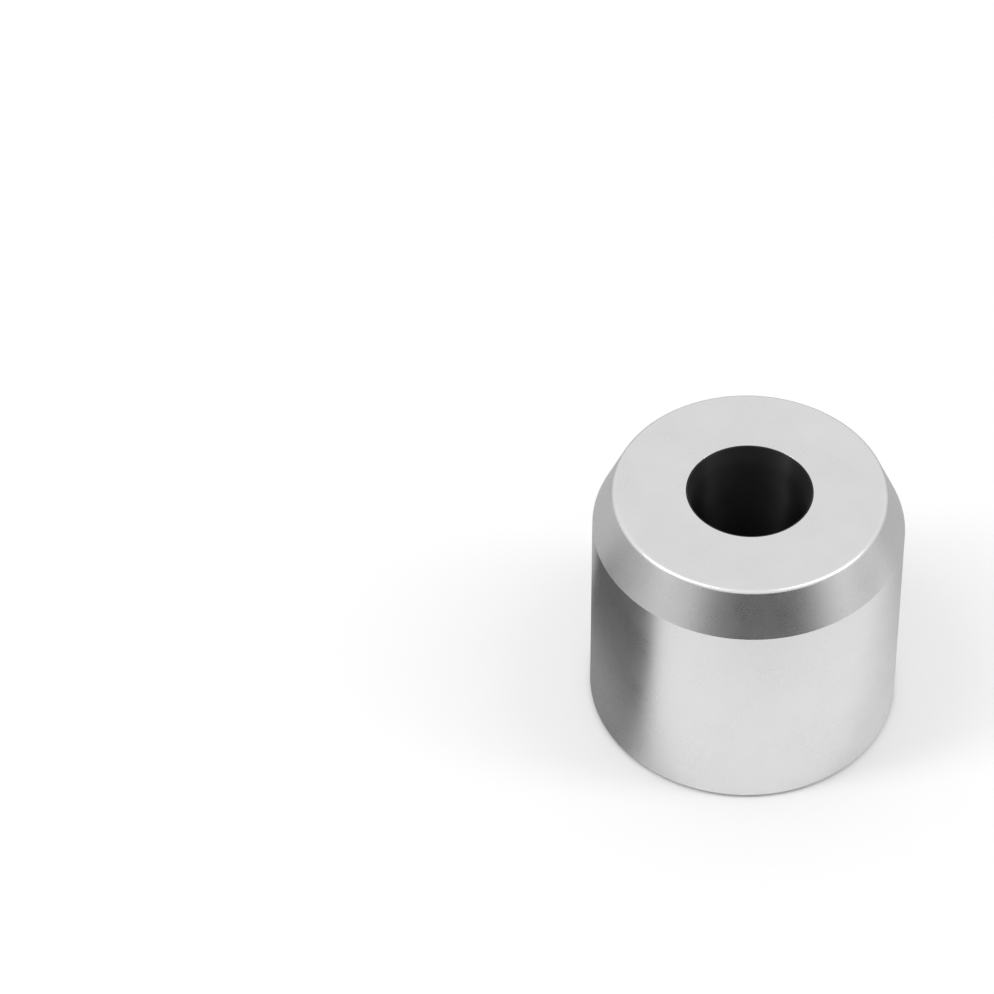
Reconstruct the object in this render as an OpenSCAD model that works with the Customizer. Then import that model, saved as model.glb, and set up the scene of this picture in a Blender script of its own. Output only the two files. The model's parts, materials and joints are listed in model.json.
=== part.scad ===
// Razor stand: a weighted metal body with a lined well that holds a safety razor upright by its
// handle. All lengths are in millimetres. Z is up, and the origin is the centre of the foot on the
// surface that the stand rests on.

/* [Body] */
// Height from the resting surface to the top face
height = 38.4; // [36:0.1:44]
// Diameter at the shoulder, where the side meets the chamfer
shoulder_d = 42; // [41:0.5:48]
// How much further out the side stands at the foot than at the shoulder
draft = 0.4; // [0:0.1:0.8]
// Width of the chamfer round the top, measured across
chamfer_w = 2.7; // [1.5:0.1:3]
// Height of the chamfer
chamfer_h = 6.3; // [4:0.1:7]
// Radius of the polished edge round the top face
rim_round = 0.7; // [0.2:0.1:0.8]
// Thickness of the body's side and top
wall = 3; // [2.5:0.1:3.2]

/* [Well] */
// Diameter of the hole through the top face
mouth_d = 17; // [16.6:0.1:18]
// Diameter of the straight part of the well
well_d = 15.6; // [15:0.1:15.8]
// Depth from the top face to the buffer disc
well_depth = 30; // [24:0.5:31]
// Height of the tapered mouth of the liner
lead_in_h = 2.6; // [1:0.1:2.8]
// Thickness of the liner's wall
liner_wall = 1.2; // [1:0.1:1.3]

/* [Base] */
// Thickness of the rubber foot
foot_t = 1.6; // [1.2:0.1:2]
// How far the rubber foot stands out below the body
foot_proud = 0.4; // [0.2:0.1:0.8]
// Thickness of the base plate
plate_t = 2.2; // [2:0.1:2.6]
// Number of base screws
screw_count = 3; // [3:1:4]
// Height of the ballast ring
ballast_h = 14; // [8:1:16]

/* [Hidden] */
$fn = 96;

// Fits: a part set into another, and the way a cut runs past the face it opens
fit_gap = 0.1;
past = 1;

// Levels, from the resting surface up
body_z = foot_proud;
plate_z = foot_t;
floor_z = plate_z + plate_t;
buffer_top_z = height - well_depth;
ceiling_z = height - wall;

// Body
shoulder_r = shoulder_d / 2;
base_r = shoulder_r + draft;
top_r = shoulder_r - chamfer_w;
shoulder_z = height - chamfer_h;
shoulder_round = 0.15;
foot_round = 0.3;
hollow_r = shoulder_r - wall;
rebate_r = hollow_r + 1;
mouth_r = mouth_d / 2;
mouth_break = 0.1;

// The hollow's own chamfer runs one wall thickness inside the body's
chamfer_len = norm([chamfer_w, chamfer_h]);
hollow_shoulder_z = shoulder_z - (wall - wall * chamfer_h / chamfer_len) * chamfer_len / chamfer_w;
hollow_top_r = hollow_r - (ceiling_z - hollow_shoulder_z) * chamfer_w / chamfer_h;

// Screws and the bosses that take them
screw_r = 1.5;
screw_core_r = 1.2;
screw_len = 10;
thread_pitch = 0.5;
head_r = 2.8;
head_rim_h = 0.25;
head_cone_h = head_r - screw_r;
slot_w = 0.8;
slot_len = 3.2;
slot_depth = 1.1;
boss_r = 3;
boss_h = 13;
boss_at_r = hollow_r - boss_r - 0.1;
boss_web_w = 3;
boss_web_lift = 0.6;
pilot_r = screw_r + 0.02;
pilot_depth = screw_len + 1;

// Liner and buffer disc
well_r = well_d / 2;
liner_r = well_r + liner_wall;
neck_r = mouth_r - fit_gap / 2;
lip_w = 0.15;
liner_drop = 0.05;
pocket_r = well_r - 0.6;
buffer_t = 1.5;
buffer_r = pocket_r - fit_gap;
buffer_edge = 0.3;
liner_floor_t = 1.6;
spigot_r = 6.2;
spigot_h = 1;
flange_r = mouth_r + 2.6;
flange_t = 1.2;
rib_count = 6;
rib_w = 1.2;
rib_reach = flange_r - liner_r - 0.5;

// Ballast ring
ballast_z = floor_z;
ballast_top_z = ballast_z + ballast_h;
ballast_r = hollow_r - 0.4;
ballast_bore_r = liner_r + fit_gap;
ballast_edge = 0.5;
boss_gap = 0.3;

// The liner's ribs run from inside its collar to inside its flange
rib_z = ballast_top_z + flange_t / 2;
rib_h = ceiling_z - flange_t - ballast_top_z;

// Base plate and rubber foot
plate_r = rebate_r - fit_gap;
rubber_r = rebate_r - 2 * fit_gap;
rubber_edge = 0.3;
groove_w = 1.2;
groove_depth = 0.5;
groove_radii = [9.2, 12.4, 15.6];

function unit(v) = v / norm(v);
function corner_angle(p, a, b) = acos(unit(a - p) * unit(b - p));
function tangent_point(p, a, b, r) = p + unit(a - p) * r / tan(corner_angle(p, a, b) / 2);
function round_centre(p, a, b, r) =
    p + unit(unit(a - p) + unit(b - p)) * r / sin(corner_angle(p, a, b) / 2);

// A polygon with some of its outward corners rounded: radii holds 0 for a corner that stays sharp
module rounded_polygon(points, radii) {
    n = len(points);
    polygon([
        for (i = [0 : n - 1])
            let (p = points[i], a = points[(i + n - 1) % n], b = points[(i + 1) % n])
                each radii[i] > 0
                    ? [tangent_point(p, a, b, radii[i]), tangent_point(p, b, a, radii[i])]
                    : [p]
    ]);
    for (i = [0 : n - 1])
        if (radii[i] > 0)
            translate(round_centre(points[i], points[(i + n - 1) % n], points[(i + 1) % n], radii[i]))
                circle(r = radii[i]);
}

// Children repeated at each screw's place
module at_screws() {
    for (i = [0 : screw_count - 1])
        rotate([0, 0, 90 + i * 360 / screw_count])
            translate([boss_at_r, 0, 0])
                children();
}

module ring(outer_r, inner_r, h) {
    difference() {
        cylinder(r = outer_r, h = h);
        translate([0, 0, -past])
            cylinder(r = inner_r, h = h + 2 * past);
    }
}

// The outline of the metal, from the mouth over the top and down to the foot
module body_outline() {
    rounded_polygon(
        [
            [mouth_r, height - mouth_break],
            [mouth_r + mouth_break, height],
            [top_r, height],
            [shoulder_r, shoulder_z],
            [base_r, body_z],
            [rebate_r, body_z],
            [rebate_r, floor_z],
            [hollow_r, floor_z],
            [hollow_r, hollow_shoulder_z],
            [hollow_top_r, ceiling_z],
            [mouth_r, ceiling_z]
        ],
        [0, 0, rim_round, shoulder_round, foot_round, 0, 0, 0, 0, 0, 0]
    );
}

module screw_boss() {
    translate([0, 0, floor_z])
        cylinder(r = boss_r, h = boss_h);
    translate([0, -boss_web_w / 2, floor_z + boss_web_lift])
        cube([boss_r + wall / 2, boss_web_w, boss_h - 2 * boss_web_lift]);
}

module outer_body() {
    color("gainsboro")
        difference() {
            union() {
                rotate_extrude()
                    body_outline();
                at_screws()
                    screw_boss();
            }
            at_screws()
                translate([0, 0, floor_z - past])
                    cylinder(r = pilot_r, h = pilot_depth + past);
        }
}

// Cup that lines the well: its neck shows in the mouth, its flange bears under the body's top and
// its foot on the base plate, and its collar holds the ballast ring down
module well_liner() {
    color("black")
        difference() {
            union() {
                translate([0, 0, floor_z])
                    cylinder(r = liner_r, h = ceiling_z - floor_z);
                translate([0, 0, ceiling_z])
                    cylinder(r = neck_r, h = wall - liner_drop);
                translate([0, 0, ceiling_z - flange_t])
                    cylinder(r = flange_r, h = flange_t);
                translate([0, 0, ballast_top_z])
                    cylinder(r = flange_r, h = flange_t);
                for (i = [0 : rib_count - 1])
                    rotate([0, 0, i * 360 / rib_count])
                        translate([liner_r - liner_wall / 2, -rib_w / 2, rib_z])
                            cube([rib_reach + liner_wall / 2, rib_w, rib_h]);
            }
            translate([0, 0, buffer_top_z])
                cylinder(r = well_r, h = height - buffer_top_z);
            translate([0, 0, height - liner_drop - lead_in_h])
                cylinder(r1 = well_r, r2 = neck_r - lip_w, h = lead_in_h);
            translate([0, 0, buffer_top_z - buffer_t])
                cylinder(r = pocket_r, h = buffer_t + past);
            translate([0, 0, floor_z - past])
                cylinder(r = spigot_r + fit_gap,
                         h = buffer_top_z - buffer_t - liner_floor_t - floor_z + past);
        }
}

module buffer_disc() {
    color("dimgray")
        translate([0, 0, buffer_top_z - buffer_t]) {
            cylinder(r = buffer_r, h = buffer_t - buffer_edge);
            translate([0, 0, buffer_t - buffer_edge])
                cylinder(r1 = buffer_r, r2 = buffer_r - buffer_edge, h = buffer_edge);
        }
}

// Steel ring round the liner, scalloped where it passes the screw bosses
module ballast_ring() {
    color("slategray")
        translate([0, 0, ballast_z])
            difference() {
                rotate_extrude()
                    polygon([
                        [ballast_bore_r, 0],
                        [ballast_r - ballast_edge, 0],
                        [ballast_r, ballast_edge],
                        [ballast_r, ballast_h - ballast_edge],
                        [ballast_r - ballast_edge, ballast_h],
                        [ballast_bore_r, ballast_h]
                    ]);
                at_screws() {
                    translate([0, 0, -past])
                        cylinder(r = boss_r + boss_gap, h = ballast_h + 2 * past);
                    translate([0, -boss_web_w / 2 - boss_gap, -past])
                        cube([boss_r + wall, boss_web_w + 2 * boss_gap, ballast_h + 2 * past]);
                }
            }
}

// Disc that closes the body from below, with a spigot that centres the liner
module base_plate() {
    color("darkslategray")
        difference() {
            union() {
                translate([0, 0, plate_z])
                    cylinder(r = plate_r, h = plate_t);
                translate([0, 0, floor_z])
                    cylinder(r = spigot_r, h = spigot_h);
            }
            at_screws() {
                translate([0, 0, plate_z - past])
                    cylinder(r = screw_r + fit_gap, h = plate_t + 2 * past);
                translate([0, 0, plate_z + head_rim_h])
                    cylinder(r1 = head_r + fit_gap, r2 = screw_r + fit_gap, h = head_cone_h);
                translate([0, 0, plate_z - past])
                    cylinder(r = head_r + fit_gap, h = head_rim_h + past);
            }
        }
}

// Countersunk screw, head down and flush with the plate. Its thread is a stack of rings.
module base_screw() {
    turns = floor((screw_len - head_rim_h - head_cone_h - plate_t / 2) / thread_pitch);
    thread_top = screw_len - 2 * thread_pitch;
    difference() {
        rotate_extrude()
            polygon([
                [0, 0],
                [head_r, 0],
                [head_r, head_rim_h],
                [screw_r - 0.1, head_rim_h + head_cone_h],
                for (i = [turns : -1 : 0])
                    each [
                        [screw_core_r, thread_top - i * thread_pitch - thread_pitch / 2],
                        [screw_r, thread_top - i * thread_pitch]
                    ],
                [screw_core_r, thread_top + thread_pitch / 2],
                [0, screw_len]
            ]);
        for (turn = [0, 90])
            rotate([0, 0, turn])
                translate([-slot_len / 2, -slot_w / 2, -past])
                    cube([slot_len, slot_w, slot_depth + past]);
    }
}

module base_screws() {
    color("silver")
        at_screws()
            translate([0, 0, plate_z])
                base_screw();
}

// Rubber disc in the body's rebate, with grooves that let it grip a wet shelf
module rubber_foot() {
    color("#202020")
        difference() {
            union() {
                translate([0, 0, rubber_edge])
                    cylinder(r = rubber_r, h = foot_t - rubber_edge);
                cylinder(r1 = rubber_r - rubber_edge, r2 = rubber_r, h = rubber_edge);
            }
            for (r = groove_radii)
                translate([0, 0, -past])
                    ring(r + groove_w / 2, r - groove_w / 2, groove_depth + past);
        }
}

outer_body();
well_liner();
buffer_disc();
ballast_ring();
base_plate();
base_screws();
rubber_foot();
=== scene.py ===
import json
import math

import bmesh
import bpy
from mathutils import Matrix, Vector


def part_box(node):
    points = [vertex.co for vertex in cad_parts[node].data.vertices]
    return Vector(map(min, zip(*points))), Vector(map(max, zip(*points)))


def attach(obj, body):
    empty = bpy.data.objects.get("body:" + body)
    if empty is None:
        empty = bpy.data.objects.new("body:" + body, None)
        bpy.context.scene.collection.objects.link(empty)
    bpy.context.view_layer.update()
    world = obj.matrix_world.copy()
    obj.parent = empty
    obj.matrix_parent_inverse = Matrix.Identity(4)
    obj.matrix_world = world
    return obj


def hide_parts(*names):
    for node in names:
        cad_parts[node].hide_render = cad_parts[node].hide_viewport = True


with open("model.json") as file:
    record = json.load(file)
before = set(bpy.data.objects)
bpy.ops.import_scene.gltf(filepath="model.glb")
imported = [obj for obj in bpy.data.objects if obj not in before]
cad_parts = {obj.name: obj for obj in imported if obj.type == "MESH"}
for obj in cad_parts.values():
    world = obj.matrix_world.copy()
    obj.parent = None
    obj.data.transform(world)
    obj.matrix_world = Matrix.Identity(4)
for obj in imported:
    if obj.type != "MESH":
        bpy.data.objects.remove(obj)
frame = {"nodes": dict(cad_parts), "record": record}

# Razor stand. The model is in metres, Z up, with the centre of its rubber foot at the origin.
# Outlines are given in millimetres as (radius, height, rounding) corners, as on a turner's drawing.

MM = 0.001
SEGMENTS = 256
TOOL_SEGMENTS = 64
ROUND_STEPS = 7
CREASE = math.radians(25)
WELD = 0.001

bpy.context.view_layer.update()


# ---------------------------------------------------------------- sizes

def top_of(node):
    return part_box(node)[1][2] / MM


def bottom_of(node):
    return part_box(node)[0][2] / MM


def radius_of(node):
    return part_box(node)[1][0] / MM


mounts = {mount["name"]: mount for mount in frame["record"]["mounts"]}

TOP = top_of("outer_body")
BODY_FOOT = bottom_of("outer_body")
PLATE_TOP = bottom_of("ballast_ring")
WALL = 3.0
CEILING = TOP - WALL
SHOULDER_R = 21.0
BASE_R = 21.4
CHAMFER_W = 2.7
CHAMFER_H = 6.3
TOP_R = SHOULDER_R - CHAMFER_W
SHOULDER = TOP - CHAMFER_H
HOLLOW_R = SHOULDER_R - WALL
REBATE_R = HOLLOW_R + 1.0
RIM_ROUND = 0.7
SHOULDER_ROUND = 0.15
FOOT_ROUND = 0.3
MOUTH_R = 8.5
MOUTH_BREAK = 0.02

WELL_R = mounts["well"]["dims"]["r_mm"]
LINER_R = WELL_R + 1.2
NECK_R = MOUTH_R - 0.05
LIP_W = 0.15
LINER_TOP = top_of("well_liner")
LEAD_IN_H = 2.6
BUFFER_TOP = top_of("buffer_disc")
BUFFER_FLOOR = bottom_of("buffer_disc")
BUFFER_R = radius_of("buffer_disc")
POCKET_R = BUFFER_R + 0.1
FLANGE_R = radius_of("well_liner")
FLANGE_T = 1.2
COLLAR = top_of("ballast_ring")
SKIRT_R = 6.3
SKIRT_TOP = BUFFER_FLOOR - 1.6
RIB_COUNT = 6
RIB_W = 1.2
RIB_R = FLANGE_R - 0.5

BOSS_R = 3.0
BOSS_H = 13.0
BOSS_AT_R = HOLLOW_R - BOSS_R - 0.1
BOSS_WEB_W = 3.0
BOSS_WEB_LIFT = 0.6
PILOT_R = 1.52
PILOT_H = 11.0
SCREW_ANGLES = [math.radians(90 + 120 * i) for i in range(3)]

RUBBER_R = radius_of("rubber_foot")
RUBBER_TOP = top_of("rubber_foot")
GROOVE_RADII = (9.2, 12.4, 15.6)
GROOVE_W = 1.2
GROOVE_DEPTH = 0.5
RINGS_PER_MM = 6.0


# ---------------------------------------------------------------- mesh tools

def arc_at(before, corner, after, radius):
    """Points of the arc that rounds a corner, from the edge before it to the edge after it."""
    a = (before - corner).normalized()
    b = (after - corner).normalized()
    half = a.angle(b) / 2
    centre = corner + (a + b).normalized() * radius / math.sin(half)
    start = corner + a * radius / math.tan(half) - centre
    end = corner + b * radius / math.tan(half) - centre
    turn = start.angle_signed(end)
    steps = max(3, round(ROUND_STEPS * abs(turn) / (math.pi / 2)))
    points = []
    for i in range(steps + 1):
        angle = -turn * i / steps
        cos, sin = math.cos(angle), math.sin(angle)
        points.append(centre + Vector((start.x * cos - start.y * sin, start.x * sin + start.y * cos)))
    return points


def rounded(corners):
    """The outline through (radius, height, rounding) corners, with an arc at each rounded one."""
    places = [Vector(corner[:2]) for corner in corners]
    outline = []
    for i, place in enumerate(places):
        radius = corners[i][2] if len(corners[i]) > 2 else 0
        if radius:
            outline += arc_at(places[i - 1], place, places[(i + 1) % len(places)], radius)
        else:
            outline.append(place)
    return outline


def lathe(name, corners):
    """A closed solid of revolution about Z. Corners on the axis become poles."""
    outline = rounded(corners)
    bm = bmesh.new()
    rings = []
    for point in outline:
        if point.x < 1e-6:
            pole = bm.verts.new((0, 0, point.y * MM))
            rings.append([pole] * SEGMENTS)
            continue
        ring = []
        for i in range(SEGMENTS):
            angle = math.tau * i / SEGMENTS
            ring.append(bm.verts.new((point.x * math.cos(angle) * MM, point.x * math.sin(angle) * MM,
                                      point.y * MM)))
        rings.append(ring)
    for ring, after in zip(rings, rings[1:] + rings[:1]):
        for i in range(SEGMENTS):
            j = (i + 1) % SEGMENTS
            face = list(dict.fromkeys((ring[i], ring[j], after[j], after[i])))
            if len(face) > 2:
                bm.faces.new(face)
    bmesh.ops.recalc_face_normals(bm, faces=bm.faces)
    return from_bmesh(name, bm)


def from_bmesh(name, bm):
    mesh = bpy.data.meshes.new(name)
    bm.to_mesh(mesh)
    bm.free()
    obj = bpy.data.objects.new(name, mesh)
    bpy.context.collection.objects.link(obj)
    return obj


def cylinder(radius, low, high, x, y):
    bm = bmesh.new()
    place = Matrix.Translation((x * MM, y * MM, (low + high) / 2 * MM))
    bmesh.ops.create_cone(bm, cap_ends=True, segments=TOOL_SEGMENTS, radius1=radius * MM,
                          radius2=radius * MM, depth=(high - low) * MM, matrix=place)
    return from_bmesh("tool", bm)


def radial_block(near, far, width, low, high, angle):
    """A block that runs outwards from the axis at an angle."""
    bm = bmesh.new()
    size = Matrix.Diagonal(((far - near) * MM, width * MM, (high - low) * MM, 1))
    place = Matrix.Translation(((near + far) / 2 * MM, 0, (low + high) / 2 * MM))
    bmesh.ops.create_cube(bm, size=1, matrix=Matrix.Rotation(angle, 4, "Z") @ place @ size)
    return from_bmesh("tool", bm)


def combine(obj, tools, operation):
    """Adds the tools' solids to obj or cuts them from it, for good, and welds what nearly meets."""
    for tool in tools:
        step = obj.modifiers.new("step", "BOOLEAN")
        step.operation, step.solver, step.object = operation, "EXACT", tool
    evaluated = obj.evaluated_get(bpy.context.evaluated_depsgraph_get())
    mesh = bpy.data.meshes.new_from_object(evaluated)
    obj.modifiers.clear()
    bm = bmesh.new()
    bm.from_mesh(mesh)
    bmesh.ops.remove_doubles(bm, verts=bm.verts, dist=WELD * MM)
    bm.to_mesh(mesh)
    bm.free()
    obj.data = mesh
    for tool in tools:
        bpy.data.objects.remove(tool)


def finish_surface(obj):
    """Smooth shading that breaks at creases and keeps flat faces flat beside a rounded edge."""
    bm = bmesh.new()
    bm.from_mesh(obj.data)
    for face in bm.faces:
        face.smooth = True
    for edge in bm.edges:
        edge.smooth = len(edge.link_faces) == 2 and edge.calc_face_angle() < CREASE
    bm.to_mesh(obj.data)
    bm.free()
    weighted = obj.modifiers.new("flat faces first", "WEIGHTED_NORMAL")
    weighted.keep_sharp = True


# ---------------------------------------------------------------- material tools

class Surface:
    """A material's node tree, with short calls for the nodes that these surfaces use."""

    def __init__(self, name, colour, metallic=0.0, roughness=0.5, **settings):
        self.material = bpy.data.materials.new(name)
        self.material.use_nodes = True
        self.material.diffuse_color = (*colour, 1)
        self.tree = self.material.node_tree
        self.shader = self.tree.nodes["Principled BSDF"]
        self.shader.inputs["Base Color"].default_value = (*colour, 1)
        self.shader.inputs["Metallic"].default_value = metallic
        self.shader.inputs["Roughness"].default_value = roughness
        for socket, value in settings.items():
            self.shader.inputs[socket.replace("_", " ")].default_value = value
        place = self.tree.nodes.new("ShaderNodeTexCoord").outputs["Object"]
        self.mm = self.vector("SCALE", place, scale=1 / MM)

    def link(self, source, target):
        if isinstance(source, (int, float, tuple)):
            target.default_value = source
        else:
            self.tree.links.new(source, target)

    def vector(self, operation, a, b=None, scale=None):
        node = self.tree.nodes.new("ShaderNodeVectorMath")
        node.operation = operation
        self.link(a, node.inputs[0])
        if b is not None:
            self.link(b, node.inputs[1])
        if scale is not None:
            node.inputs["Scale"].default_value = scale
        return node.outputs["Value" if operation in ("LENGTH", "DISTANCE") else "Vector"]

    def math(self, operation, a, b=0.0):
        node = self.tree.nodes.new("ShaderNodeMath")
        node.operation = operation
        self.link(a, node.inputs[0])
        self.link(b, node.inputs[1])
        return node.outputs[0]

    def noise(self, size_mm, detail=2.0, place=None):
        """Noise from 0 to 1 whose features are about size_mm across, at a place in millimetres."""
        node = self.tree.nodes.new("ShaderNodeTexNoise")
        node.inputs["Scale"].default_value = 1 / size_mm
        node.inputs["Detail"].default_value = detail
        self.link(place or self.mm, node.inputs["Vector"])
        return node.outputs["Fac"]

    def remap(self, value, low, high, to_low=0.0, to_high=1.0, smooth=False):
        node = self.tree.nodes.new("ShaderNodeMapRange")
        node.interpolation_type = "SMOOTHSTEP" if smooth else "LINEAR"
        self.link(value, node.inputs["Value"])
        for socket, number in (("From Min", low), ("From Max", high), ("To Min", to_low),
                               ("To Max", to_high)):
            node.inputs[socket].default_value = number
        return node.outputs["Result"]

    def mix(self, fac, a, b):
        node = self.tree.nodes.new("ShaderNodeMix")
        node.data_type = "RGBA"
        self.link(fac, node.inputs["Factor"])
        for socket, colour in (("A", a), ("B", b)):
            target = [i for i in node.inputs if i.name == socket and i.type == "RGBA"][0]
            self.link(colour if not isinstance(colour, tuple) else (*colour, 1), target)
        return [o for o in node.outputs if o.type == "RGBA"][0]

    def profile_place(self):
        """(radius, 0, height) in millimetres: where the surface is on the turned outline."""
        join = self.tree.nodes.new("ShaderNodeCombineXYZ")
        self.link(self.vector("LENGTH", self.vector("MULTIPLY", self.mm, (1, 1, 0))), join.inputs["X"])
        self.link(self.height(), join.inputs["Z"])
        return join.outputs[0]

    def height(self):
        node = self.tree.nodes.new("ShaderNodeSeparateXYZ")
        self.link(self.mm, node.inputs[0])
        return node.outputs["Z"]

    def edge_mask(self, edges, reach):
        """1 on any of the turned edges at (radius, height), falling to 0 at reach millimetres."""
        here = self.profile_place()
        masks = []
        for radius, height in edges:
            away = self.vector("DISTANCE", here, (radius, 0, height))
            masks.append(self.remap(away, 0, reach, 1, 0, smooth=True))
        total = masks[0]
        for mask in masks[1:]:
            total = self.math("MAXIMUM", total, mask)
        return total

    def bump(self, layers):
        """Layers of (height from 0 to 1, depth in millimetres), one on another."""
        normal = None
        for height, depth in layers:
            node = self.tree.nodes.new("ShaderNodeBump")
            node.inputs["Strength"].default_value = 1.0
            node.inputs["Distance"].default_value = depth * MM
            self.link(height, node.inputs["Height"])
            if normal is not None:
                self.link(normal, node.inputs["Normal"])
            normal = node.outputs["Normal"]
        self.link(normal, self.shader.inputs["Normal"])

    def set(self, socket, value):
        self.link(value, self.shader.inputs[socket])


# ---------------------------------------------------------------- materials

def satin_plating():
    """Bead-blasted, matt chrome-plated casting. The turned edges are a little brighter: partly wear,
    partly a painted highlight on the rim.
    """
    s = Surface("satin_plating", (0.80, 0.80, 0.805), metallic=1.0, roughness=0.3)
    clouds = s.noise(6.0, detail=3.0)
    blast = s.noise(0.35, detail=1.0)
    grain = s.noise(0.11, detail=1.0)
    # Lighter metal colour on the rim, the foot edge and a little on the shoulder: part wear, part
    # painted highlight.
    rubbed_and_sheen_edges = s.edge_mask([(TOP_R, TOP), (BASE_R, BODY_FOOT)], 0.7)
    shoulder = s.math("MULTIPLY", s.edge_mask([(SHOULDER_R, SHOULDER)], 0.35), 0.35)
    wear_and_rim_sheen = s.math("MULTIPLY", s.math("MAXIMUM", rubbed_and_sheen_edges, shoulder),
                  s.remap(s.noise(1.4), 0.35, 0.65, 0.5, 1.0))
    s.set("Base Color", s.mix(wear_and_rim_sheen, s.mix(clouds, (0.755, 0.755, 0.76), (0.835, 0.835, 0.84)),
                              (0.86, 0.86, 0.86)))
    rough = s.math("ADD", s.remap(clouds, 0.3, 0.7, 0.27, 0.32), s.remap(grain, 0.3, 0.7, -0.03, 0.03))
    s.set("Roughness", s.math("SUBTRACT", rough, s.math("MULTIPLY", wear_and_rim_sheen, 0.08)))
    s.bump([(blast, 0.0035), (grain, 0.0006)])
    return s.material


def black_liner():
    """Glossy black moulded plastic, rougher upright than round the bore, as fine rings leave it."""
    s = Surface("black_liner", (0.006, 0.006, 0.0065), roughness=0.42, Specular_IOR_Level=0.5,
                Anisotropic=1.0, Anisotropic_Rotation=0.25)
    tangent = s.tree.nodes.new("ShaderNodeTangent")
    tangent.direction_type, tangent.axis = "RADIAL", "Z"
    s.set("Tangent", tangent.outputs[0])
    grain = s.noise(0.3, detail=2.0)
    haze = s.noise(3.0, detail=2.0)
    s.set("Base Color", s.mix(haze, (0.005, 0.005, 0.0055), (0.008, 0.008, 0.0085)))
    s.set("Roughness", s.remap(haze, 0.3, 0.7, 0.4, 0.44))
    s.bump([(grain, 0.001)])
    return s.material


def rubber(name, colour, light, grain_mm):
    s = Surface(name, colour, roughness=0.7, Specular_IOR_Level=0.35)
    grain = s.noise(grain_mm, detail=3.0)
    blotch = s.noise(4.0, detail=2.0)
    s.set("Base Color", s.mix(s.remap(blotch, 0.3, 0.7), colour, light))
    s.set("Roughness", s.remap(grain, 0.3, 0.7, 0.6, 0.8))
    s.bump([(blotch, 0.01), (grain, 0.012)])
    return s.material


def turned_steel(name, colour, roughness):
    """Bare steel with fine rings from the lathe."""
    s = Surface(name, colour, metallic=1.0, roughness=roughness)
    rings = s.noise(1 / RINGS_PER_MM, place=s.profile_place())
    stain = s.noise(2.5, detail=3.0)
    dark = tuple(c * 0.7 for c in colour)
    s.set("Base Color", s.mix(s.remap(stain, 0.45, 0.75), colour, dark))
    s.set("Roughness", s.remap(rings, 0.3, 0.7, roughness - 0.08, roughness + 0.1))
    s.bump([(rings, 0.006)])
    return s.material


def moulded_plastic():
    s = Surface("plate_plastic", (0.03, 0.03, 0.031), roughness=0.5)
    grain = s.noise(0.2, detail=2.0)
    flow = s.noise(5.0, detail=2.0)
    s.set("Base Color", s.mix(flow, (0.024, 0.024, 0.025), (0.036, 0.036, 0.037)))
    s.set("Roughness", s.remap(grain, 0.3, 0.7, 0.42, 0.58))
    s.bump([(grain, 0.008)])
    return s.material


def dress(obj, material):
    """Puts one material on every slot of an object."""
    if not obj.data.materials:
        obj.data.materials.append(material)
    for slot in obj.material_slots:
        slot.material = material


# ---------------------------------------------------------------- pieces

def place(obj, node, slot, material):
    finish_surface(obj)
    dress(obj, material)
    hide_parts(node)
    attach(obj, "root")


def make_body():
    """The metal body: chamfered head, drafted side, hollow from below with three screw bosses."""
    slant = math.hypot(CHAMFER_W, CHAMFER_H)
    hollow_shoulder = SHOULDER - WALL * (slant - CHAMFER_H) / CHAMFER_W
    hollow_top_r = HOLLOW_R - (CEILING - hollow_shoulder) * CHAMFER_W / CHAMFER_H
    body = lathe("stand_body", [
        (MOUTH_R, TOP - MOUTH_BREAK),
        (MOUTH_R + MOUTH_BREAK, TOP),
        (TOP_R, TOP, RIM_ROUND),
        (SHOULDER_R, SHOULDER, SHOULDER_ROUND),
        (BASE_R, BODY_FOOT, FOOT_ROUND),
        (REBATE_R, BODY_FOOT),
        (REBATE_R, PLATE_TOP),
        (HOLLOW_R, PLATE_TOP),
        (HOLLOW_R, hollow_shoulder, 1.0),
        (hollow_top_r, CEILING, 0.6),
        (MOUTH_R, CEILING),
    ])
    bosses, webs, pilots = [], [], []
    for angle in SCREW_ANGLES:
        x, y = BOSS_AT_R * math.cos(angle), BOSS_AT_R * math.sin(angle)
        bosses.append(cylinder(BOSS_R, PLATE_TOP, PLATE_TOP + BOSS_H, x, y))
        webs.append(radial_block(BOSS_AT_R, HOLLOW_R + WALL / 2, BOSS_WEB_W,
                                 PLATE_TOP + BOSS_WEB_LIFT, PLATE_TOP + BOSS_H - BOSS_WEB_LIFT, angle))
        pilots.append(cylinder(PILOT_R, PLATE_TOP - 1, PLATE_TOP + PILOT_H, x, y))
    combine(body, bosses + webs, "UNION")
    combine(body, pilots, "DIFFERENCE")
    place(body, "outer_body", "satin_plating", satin_plating())


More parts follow.
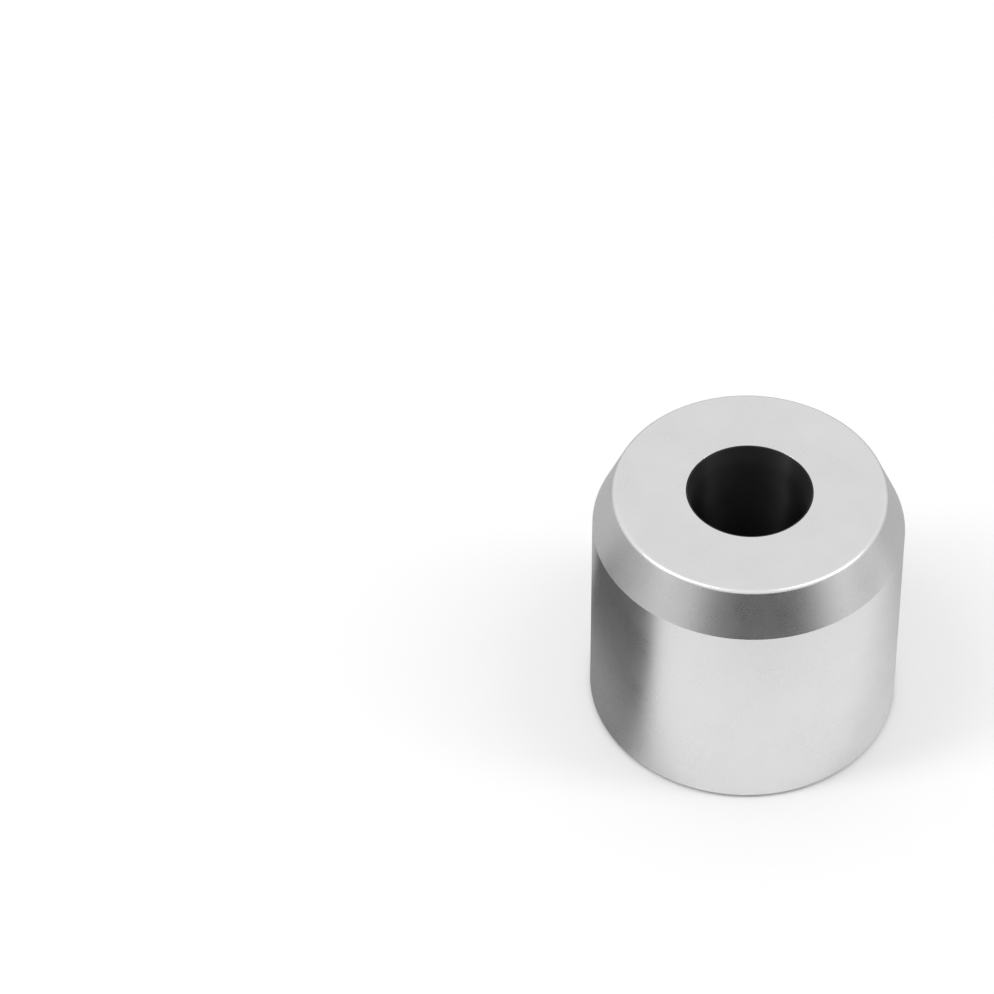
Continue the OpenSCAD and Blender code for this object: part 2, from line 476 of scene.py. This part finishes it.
def make_liner():
    """The plastic cup that lines the well, flush with the top face."""
    liner = lathe("liner_cup", [
        (0, BUFFER_FLOOR),
        (POCKET_R, BUFFER_FLOOR, 0.2),
        (POCKET_R, BUFFER_TOP, 0.15),
        (WELL_R, BUFFER_TOP),
        (WELL_R, LINER_TOP - LEAD_IN_H, 6.0),
        (NECK_R - LIP_W, LINER_TOP, 0.06),
        (NECK_R, LINER_TOP, 0.06),
        (NECK_R, CEILING),
        (FLANGE_R, CEILING, 0.2),
        (FLANGE_R, CEILING - FLANGE_T, 0.2),
        (LINER_R, CEILING - FLANGE_T, 0.3),
        (LINER_R, COLLAR + FLANGE_T, 0.3),
        (FLANGE_R, COLLAR + FLANGE_T, 0.2),
        (FLANGE_R, COLLAR, 0.2),
        (LINER_R, COLLAR),
        (LINER_R, PLATE_TOP, 0.2),
        (SKIRT_R, PLATE_TOP, 0.2),
        (SKIRT_R, SKIRT_TOP, 0.2),
        (0, SKIRT_TOP),
    ])
    ribs = []
    for i in range(RIB_COUNT):
        ribs.append(radial_block(LINER_R - 0.6, RIB_R, RIB_W, COLLAR + FLANGE_T / 2,
                                 CEILING - FLANGE_T / 2, math.tau * i / RIB_COUNT))
    combine(liner, ribs, "UNION")
    place(liner, "well_liner", "black_liner", black_liner())


def make_buffer():
    """The soft rubber disc at the bottom of the well, a little dished where handles stand."""
    edge, dish = 0.3, 0.25
    dish_starts, dish_ends = BUFFER_R * 0.72, BUFFER_R * 0.3
    buffer = lathe("buffer", [
        (0, BUFFER_FLOOR),
        (BUFFER_R, BUFFER_FLOOR, 0.1),
        (BUFFER_R, BUFFER_TOP, edge),
        (dish_starts, BUFFER_TOP, 2.0),
        (dish_ends, BUFFER_TOP - dish, 2.0),
        (0, BUFFER_TOP - dish),
    ])
    place(buffer, "buffer_disc", "buffer_rubber",
          rubber("buffer_rubber", (0.035, 0.035, 0.037), (0.055, 0.055, 0.057), 0.15))


def make_foot():
    """The grooved rubber disc that the stand rests on."""
    corners = [(0, 0)]
    for radius in GROOVE_RADII:
        near, far = radius - GROOVE_W / 2, radius + GROOVE_W / 2
        corners += [(near, 0, 0.15), (near, GROOVE_DEPTH, 0.2), (far, GROOVE_DEPTH, 0.2),
                    (far, 0, 0.15)]
    corners += [(RUBBER_R, 0, 0.3), (RUBBER_R, RUBBER_TOP), (0, RUBBER_TOP)]
    foot = lathe("foot", corners)
    place(foot, "rubber_foot", "foot_rubber",
          rubber("foot_rubber", (0.018, 0.018, 0.019), (0.03, 0.03, 0.031), 0.12))


make_body()
make_liner()
make_buffer()
make_foot()
dress(frame["nodes"]["ballast_ring"], turned_steel("ballast_steel", (0.42, 0.43, 0.45), 0.4))
dress(frame["nodes"]["base_screws"], turned_steel("screw_steel", (0.62, 0.62, 0.64), 0.28))
dress(frame["nodes"]["base_plate"], moulded_plastic())


# ---------------------------------------------------------------- camera

def make_camera():
    """Looks down at the stand from in front, with the stand low and to the right of the frame."""
    pitch, roll = math.radians(46.0144), math.radians(1.8439)
    distance, right_by, down_by = 494.2, 33.7, 26.9
    across = Vector((1, 0, 0))
    ahead = Vector((0, math.cos(pitch), -math.sin(pitch)))
    upward = Vector((0, math.sin(pitch), math.cos(pitch)))
    turn = Matrix((
        across * math.cos(roll) - upward * math.sin(roll),
        across * math.sin(roll) + upward * math.cos(roll),
        -ahead,
    )).transposed()
    camera = bpy.data.objects.new("camera", bpy.data.cameras.new("camera"))
    camera.data.sensor_width = 36
    camera.data.lens = 126.76
    camera.data.clip_start, camera.data.clip_end = 0.01, 20
    place = (-across * right_by + upward * down_by - ahead * distance) * MM
    camera.matrix_world = Matrix.Translation(place) @ turn.to_4x4()
    bpy.context.collection.objects.link(camera)
    bpy.context.scene.camera = camera


make_camera()


# ---------------------------------------------------------------- studio

LAMP_DISTANCE = 1.0


def aim_of(azimuth, elevation):
    """The direction from the stand towards an azimuth and elevation, 0 in front, 90 to the right."""
    a, e = math.radians(azimuth), math.radians(elevation)
    return Vector((math.sin(a) * math.cos(e), -math.cos(a) * math.cos(e), math.sin(e)))


def softbox(name, azimuth, elevation, width, height, radiance):
    """An oblong lamp, upright, that faces the stand and doesn't show."""
    data = bpy.data.lights.new(name, "AREA")
    data.shape, data.size, data.size_y = "RECTANGLE", width, height
    data.energy = radiance * math.pi * width * height
    obj = bpy.data.objects.new(name, data)
    away = aim_of(azimuth, elevation)
    obj.location = away * LAMP_DISTANCE
    obj.rotation_mode = "QUATERNION"
    obj.rotation_quaternion = (-away).to_track_quat("-Z", "Y")
    obj.visible_camera = False
    bpy.context.collection.objects.link(obj)


def grey_card(name, corners, shade, spots):
    """A flat card, corners in mm, seen only in glossy reflections, so its greys are painted shade in
    what the metal mirrors. It doesn't shade the floor.

    Each spot is (centre, radii, shade, softness), an oval where the card fades to another grey.
    """
    bm = bmesh.new()
    bm.faces.new([bm.verts.new([c * MM for c in corner]) for corner in corners])
    card = from_bmesh(name, bm)
    s = Surface(name, (shade, shade, shade), roughness=0.9, Specular_IOR_Level=0.0)
    colour = (shade, shade, shade)
    for centre, radii, grey, softness in spots:
        away = s.vector("LENGTH", s.vector("DIVIDE", s.vector("SUBTRACT", s.mm, centre), radii))
        inside = s.remap(away, 1 - softness, 1 + softness, 1, 0, smooth=True)
        colour = s.mix(inside, colour, (grey, grey, grey))
    s.set("Base Color", colour)
    dress(card, s.material)
    card.visible_camera = card.visible_diffuse = False
    card.visible_shadow = card.visible_transmission = False


def make_sky():
    """Pale all round, and a little darker towards the horizon."""
    world = bpy.data.worlds.new("studio")
    bpy.context.scene.world = world
    world.use_nodes = True
    nodes, links = world.node_tree.nodes, world.node_tree.links
    nodes["Background"].inputs["Color"].default_value = (1, 1, 1, 1)
    direction = nodes.new("ShaderNodeTexCoord").outputs["Generated"]
    split = nodes.new("ShaderNodeSeparateXYZ")
    links.new(direction, split.inputs[0])
    rise = nodes.new("ShaderNodeMapRange")
    links.new(split.outputs["Z"], rise.inputs["Value"])
    for socket, value in (("From Min", 0.0), ("From Max", 0.6), ("To Min", 0.66), ("To Max", 0.85)):
        rise.inputs[socket].default_value = value
    links.new(rise.outputs["Result"], nodes["Background"].inputs["Strength"])


def make_floor():
    bm = bmesh.new()
    bmesh.ops.create_grid(bm, x_segments=8, y_segments=8, size=1.5)
    floor = from_bmesh("floor", bm)
    s = Surface("floor_paper", (0.94, 0.94, 0.94), roughness=0.85, Specular_IOR_Level=0.1)
    s.set("Roughness", s.remap(s.noise(30.0), 0.3, 0.7, 0.8, 0.9))
    dress(floor, s.material)


def make_studio():
    """The lamps and cards were placed so that what the metal mirrors suits the main view."""
    make_sky()
    make_floor()
    softbox("left_box", -76, 53, 0.2, 0.8, 4.4)
    softbox("right_box", 78, 53, 0.2, 0.8, 3.2)
    half, height = 600, 0.2
    # A floor-wide sheet that only reflections see, painted with shade: the dark oval left of the stand
    # is the stand's painted shadow, a little paler near the foot, and the other ovals are painted
    # darker floor to the back, sides and front.
    grey_card("floor_shade_card",
              [(-half, -half, height), (half, -half, height),
               (half, half, height), (-half, half, height)],
              0.87, [
                  ((0, 300, 0), (900, 303, 1), 0.48, 0.06),
                  ((-200, -50, 0), (120, 80, 1), 0.32, 0.5),
                  ((210, -40, 0), (130, 60, 1), 0.5, 0.5),
                  ((-76, 0, 0), (66, 29, 1), 0.1, 0.12),
                  ((-20, 0, 0), (13, 16, 1), 0.3, 0.6),
                  ((30, -210, 0), (165, 125, 1), 0.12, 0.5),
              ])
    # An upright card in front that only reflections see, darker in its middle: a painted dark
    # reflection on the front of the chamfer and side.
    grey_card("front_shade_card", [(-400, -250, 0), (400, -250, 0), (400, -250, 170), (-400, -250, 170)],
              0.55, [((25, -250, 20), (190, 1, 110), 0.09, 0.5)])
    bpy.context.scene.view_settings.view_transform = "Standard"


make_studio()
